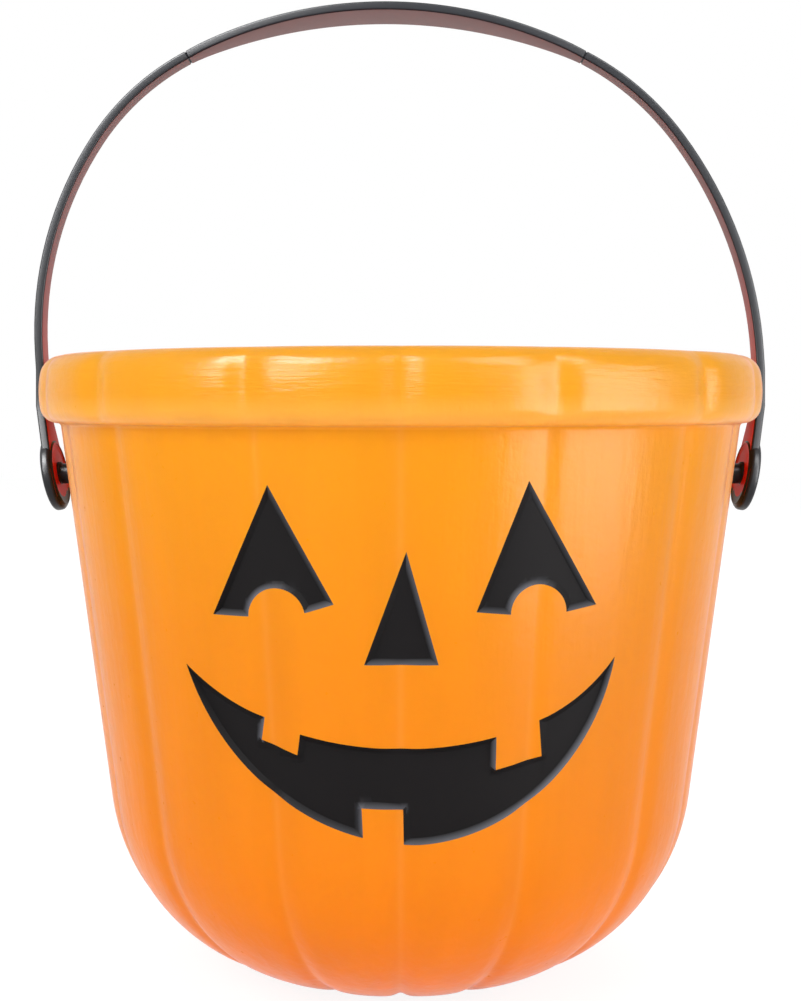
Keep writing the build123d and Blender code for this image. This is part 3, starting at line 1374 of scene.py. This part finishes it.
    def strap_ring(self, wide: float, half: float) -> List[Point]:
        """Cross section of the strap: a rectangle with rounded edges.

        Args:
            wide: Half of its width.
            half: Half of its thickness.

        Returns:
            Places across and through the strap, in order.
        """
        soft = self.edge_round
        runs = []
        for side, face, start in ((1, 1, 0), (-1, 1, 90), (-1, -1, 180), (1, -1, 270)):
            centre = (side * (wide - soft), face * (half - soft))
            runs.append(arc_points(centre, soft, start, start + 90, self.edge_steps))
        return joined(runs)

    def disc_section(self) -> List[Point]:
        """Half section of a round end, from its inner face outwards.

        Returns:
            Radius and height along its axis of each point.
        """
        soft, ridge, middle, steps = self.disc_round, self.ridge_height, self.ridge_radius, self.round_steps
        outer = self.disc_radius - soft
        start, foot, far_foot = self.ridge_feet
        bow_centre = (middle, -self.ridge_sink_share * ridge)
        crown_radius, crown_rise = self.disc_crown_shares
        return joined(
            (
                [(0.0, 0.0), (self.peg_radius, 0.0), (middle - start, 0.0)],
                [(middle - foot, -self.ridge_foot_share * ridge)],
                arc_points(bow_centre, self.ridge_bow_share * ridge, *self.ridge_turns, steps),
                [(middle + far_foot, self.disc_step)],
                arc_points((outer, soft + self.disc_step), soft, self.disc_step_turn, 0, steps),
                arc_points((outer, self.disc_thickness - soft), soft, 0, 90, steps),
                [(outer * crown_radius, self.disc_thickness + crown_rise * self.disc_crown)],
                [(0.0, self.disc_thickness + self.disc_crown)],
            )
        )

    def peg_section(self) -> List[Point]:
        """Half section of a snap peg, from the round end towards the pail's inside.

        Returns:
            Radius and height along its axis of each point.
        """
        seat = self.groove_wall - self.shell.wall - self.peg_play
        length = self.disc_inner - seat
        tip = length + self.head_length
        foot, (flare_start, flare_end) = self.peg_radius + self.peg_flare, self.peg_flare_ends
        return [
            (0.0, -self.peg_root),
            (foot, -self.peg_root),
            (foot, flare_start),
            (self.peg_radius, flare_end),
            (self.peg_radius, length),
            (self.head_radius - self.head_edge, length),
            (self.head_radius, length + self.head_edge),
            (self.head_radius, length + self.head_land),
            (self.head_tip_radius + self.head_tip_edge, tip - self.head_tip_edge),
            (self.head_tip_radius, tip),
            (0.0, tip),
        ]

    def lathed(self, section: Sequence[Point], origin: Vector, axis: Vector, columns: int) -> Mesh:
        """A section turned about any axis.

        Args:
            section: Radius and height along the axis of each row.
            origin: Where the axis starts.
            axis: Direction of the axis.
            columns: Number of columns in a full turn.

        Returns:
            Vertices and faces.
        """
        turn = Vector((0, 0, 1)).rotation_difference(axis).to_matrix().to_4x4()
        frame_of = Matrix.Translation(origin) @ turn

        def place(radius: float, height: float, azimuth: float) -> Vector:
            """Point of the turned section."""
            angle = math.radians(azimuth)
            return frame_of @ Vector((radius * math.cos(angle), radius * math.sin(angle), height))

        return turned(section, [360 * column / columns for column in range(columns)], place)

    def build(self) -> bpy.types.Object:
        """Makes the handle's mesh.

        Returns:
            The handle.
        """
        parts = [self.strap()]
        for side in (1, -1):
            origin = Vector((side * self.disc_inner, 0, self.shell.pivot_height))
            lean = Vector((side * math.cos(self.leg_tilt), 0, -math.sin(self.leg_tilt)))
            parts.append(self.lathed(self.disc_section(), origin, lean, self.disc_columns))
            parts.append(self.lathed(self.peg_section(), origin, Vector((-side, 0, 0)), self.peg_columns))
        vertices, faces = [], []
        for part_vertices, part_faces in parts:
            start = len(vertices)
            vertices += part_vertices
            faces += [tuple(start + spot for spot in face) for face in part_faces]
        handle = mesh_object("carrying_handle", vertices, faces)
        smooth_shaded(handle, self.sharp_angle)
        # Faces that look towards the pail take the second finish, a painted reflection of the orange wall.
        for face in handle.data.polygons:
            face.material_index = int(self.looks_inwards(face.center / MM, face.normal))
        return handle

    def looks_inwards(self, centre: Vector, normal: Vector) -> bool:
        """Whether a face of the strap, grip or round ends looks towards the pail.

        Args:
            centre: Middle of the face, in millimetres.
            normal: Direction that the face looks in.

        Returns:
            True where it does, and always false on the pegs.
        """
        if abs(centre.x) < self.disc_inner - self.inner_margin and centre.z < self.shell.height:
            return False
        inwards = Vector((-centre.x, 0.0, min(0.0, self.lean_start - centre.z))).normalized()
        return normal.dot(inwards) > self.inward_limit

    def dress(self, handle: bpy.types.Object, group: bpy.types.NodeTree) -> None:
        """Gives the handle its finish, body and slot.

        Args:
            handle: The handle's object.
            group: The moulded surface node group.
        """
        handle.data.materials.append(BLACK_HANDLE.material(group))
        # Second finish: a painted reflection on the faces that look towards the pail.
        handle.data.materials.append(HANDLE_PAINTED_REFLECTION.material(group))
        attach(handle, Body.HANDLE.value)
        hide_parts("handle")


# Studio


@dataclass(frozen=True)
class SoftLamp:
    """A soft lamp aimed at a point, in metres and watts."""

    name: str
    place: Place
    aim: Place
    size: Point
    power: float
    use: LampUse = LampUse.LIGHT

    def build(self) -> None:
        """Adds the lamp to the scene."""
        data = bpy.data.lights.new(self.name, "AREA")
        data.shape = "RECTANGLE"
        data.size, data.size_y = self.size
        data.energy = self.power
        lamp = bpy.data.objects.new(self.name, data)
        lamp.location = self.place
        lamp.rotation_euler = (Vector(self.aim) - Vector(self.place)).to_track_quat("-Z", "Y").to_euler()
        lamp.visible_camera = False
        lamp.visible_diffuse = self.use is not LampUse.CARD
        lamp.visible_glossy = self.use is not LampUse.SHADE
        bpy.context.scene.collection.objects.link(lamp)


PAIL_MIDDLE: Place = (0.0, 0.0, 0.1)
RIM_FRONT: Place = (0.0, -0.1, 0.17)


@dataclass
class Studio:
    """White surroundings, soft lamps and the camera."""

    floor_half: float = 3.0
    floor_drop: float = 0.2
    floor_tone: Colour = (0.9, 0.9, 0.9, 1.0)
    floor_roughness: float = 0.9
    floor_show: float = 0.8
    floor_glow: float = 1.12
    sky_level: float = 0.48
    camera_place: Place = (0.0, -0.4534, 0.1616)
    focal_pixels: float = 1521.0
    horizon_rise: float = 95.5
    sensor: float = 36.0
    lamps: Tuple[SoftLamp, ...] = field(
        default_factory=lambda: (
            SoftLamp("key", (-0.9, -1.1, 1.1), PAIL_MIDDLE, (0.9, 0.9), 14.0),
            SoftLamp("fill", (1.0, -0.9, 0.6), PAIL_MIDDLE, (0.8, 0.8), 5.8),
            SoftLamp("back", (0.4, 1.3, 1.0), PAIL_MIDDLE, (1.2, 1.2), 11.0, LampUse.SHADE),
            SoftLamp("key_card", (-0.85, -1.02, 1.38), RIM_FRONT, (0.7, 0.7), 98.0, LampUse.CARD),
            SoftLamp("fill_card", (0.85, -1.02, 1.38), RIM_FRONT, (0.7, 0.7), 36.0, LampUse.CARD),
            SoftLamp("rim_card", (-0.85, -1.02, 0.5), RIM_FRONT, (0.7, 0.28), 21.0, LampUse.CARD),
            SoftLamp("side_card", (0.364, -0.265, 0.15), (0.0, 0.0, 0.15), (0.33, 0.3), 4.2, LampUse.CARD),
        )
    )

    def white_mask(self, build: NodeTree) -> Socket:
        """Mask of rays that should see plain white: camera, see-through and mirror-like ones.

        Args:
            build: Tree that the mask is made in.

        Returns:
            The mask's output.
        """
        path = build.node("ShaderNodeLightPath").outputs
        mask = path["Is Camera Ray"]
        for name in ("Is Transmission Ray", "Is Glossy Ray"):
            mask = build.calculated("MAXIMUM", mask, path[name])
        return mask

    def build_world(self) -> None:
        """Makes the surroundings white to the camera and a plain soft light to the object."""
        world = bpy.data.worlds.new("white_room")
        bpy.context.scene.world = world
        world.use_nodes = True
        world.node_tree.nodes.clear()
        build = NodeTree(world.node_tree)
        soft = build.node("ShaderNodeBackground", {"Color": WHITE, "Strength": self.sky_level}).outputs
        white = build.node("ShaderNodeBackground", {"Color": WHITE}).outputs
        shades = {"Fac": self.white_mask(build), 1: soft["Background"], 2: white["Background"]}
        mixed = build.node("ShaderNodeMixShader", shades)
        build.node("ShaderNodeOutputWorld", {"Surface": mixed.outputs["Shader"]})

    def build_floor(self) -> None:
        """Makes the pale floor, which keeps a little of the object's shadow."""
        reach, level = self.floor_half / MM, -self.floor_drop
        square = ((-reach, -reach), (reach, -reach), (reach, reach), (-reach, reach))
        floor = mesh_object("pale_floor", [(x, y, level) for x, y in square], [(0, 1, 2, 3)])
        finish = bpy.data.materials.new("pale_floor")
        finish.use_nodes = True
        build = NodeTree(finish.node_tree)
        shader, out = (finish.node_tree.nodes[name] for name in ("Principled BSDF", "Material Output"))
        build.fill(shader, {"Base Color": self.floor_tone, "Roughness": self.floor_roughness})
        glow = build.node("ShaderNodeEmission", {"Strength": self.floor_glow})
        share = build.calculated("MULTIPLY", self.white_mask(build), self.floor_show)
        shades = {"Fac": share, 1: shader.outputs["BSDF"], 2: glow.outputs["Emission"]}
        build.fill(out, {"Surface": build.node("ShaderNodeMixShader", shades).outputs["Shader"]})
        floor.data.materials.append(finish)

    def build_camera(self) -> None:
        """Puts the camera at the photograph's viewing angle."""
        data = bpy.data.cameras.new("photo_camera")
        data.sensor_fit = "HORIZONTAL"
        data.sensor_width = self.sensor
        data.lens = self.sensor * self.focal_pixels / PHOTO_WIDTH
        data.shift_y = -self.horizon_rise / PHOTO_WIDTH
        camera = bpy.data.objects.new("photo_camera", data)
        camera.location = self.camera_place
        camera.rotation_euler = (math.pi / 2, 0.0, 0.0)
        bpy.context.scene.collection.objects.link(camera)
        bpy.context.scene.camera = camera

    def build(self) -> None:
        """Builds the whole studio."""
        bpy.context.scene.view_settings.view_transform = "Standard"
        self.build_world()
        self.build_floor()
        self.build_camera()
        for lamp in self.lamps:
            lamp.build()


def log_piece(piece: bpy.types.Object) -> None:
    """Reports a finished piece."""
    LOG.info("%s: %d faces", piece.name, len(piece.data.polygons))


def main() -> None:
    """Builds the pail, its face, its handle and the studio."""
    logging.basicConfig(level=logging.INFO, format="%(message)s")
    group = moulded_surface_group()
    shell = PailShell()
    face = CarvedFace(shell)
    pail = shell.build(face)
    shell.dress(pail, group)
    log_piece(pail)
    black = FACE_BLACK.material(group)
    for name in face.outlines():
        shape = face.build(name)
        face.dress(name, shape, black)
        log_piece(shape)
    swing = SwingHandle(shell)
    handle = swing.build()
    swing.dress(handle, group)
    log_piece(handle)
    Studio().build()


if __name__ == "__main__":
    main()
